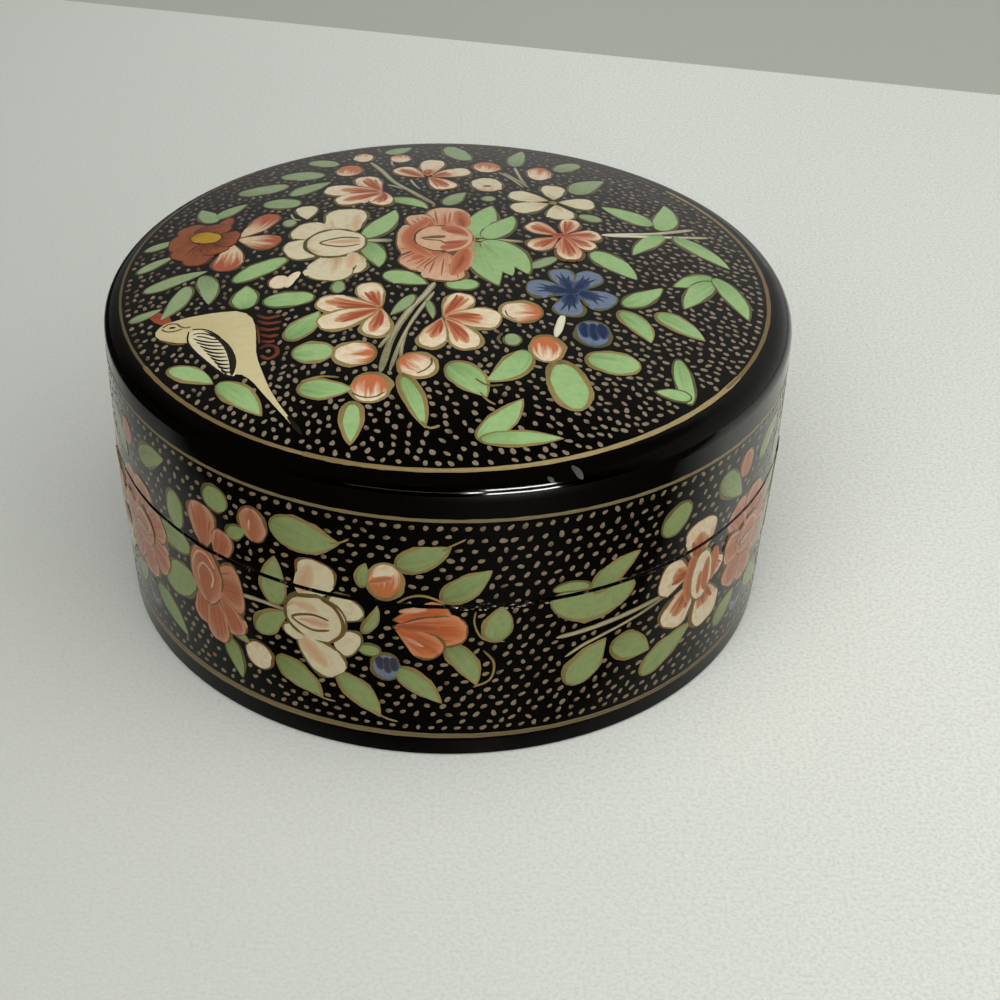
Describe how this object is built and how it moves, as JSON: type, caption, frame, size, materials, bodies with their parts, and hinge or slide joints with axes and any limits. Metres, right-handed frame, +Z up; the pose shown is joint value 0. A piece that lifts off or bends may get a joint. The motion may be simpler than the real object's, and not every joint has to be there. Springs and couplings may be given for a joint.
{
  "type": "round lidded papier mache box",
  "caption": "Round papier mache trinket box with a gently domed lift-off lid that slips over an inner ring, painted with flowers and a bird on black lacquer.",
  "frame": {"origin": "centre of the underside, on the surface that the box stands on", "axes": "+Z up along the box's axis, -Y towards the picture's camera"},
  "size_m": [0.09, 0.09, 0.047],
  "materials": {
    "painted_lacquer": "paper pulp under black lacquer, hand painted with flowers, glossy varnish",
    "black_lacquer": "paper pulp under plain black lacquer, glossy"
  },
  "bodies": {
    "base": {"base_floor": "black_lacquer", "base_wall": "painted_lacquer", "inner_collar": "black_lacquer"},
    "lid": {"lid_wall": "painted_lacquer", "lid_top": "painted_lacquer"}
  },
  "joints": [
    {"name": "lid_lift", "type": "slide", "parent": "base", "child": "lid", "axis": [0, 0, 1], "range_m": [0, 0.04]}
  ]
}
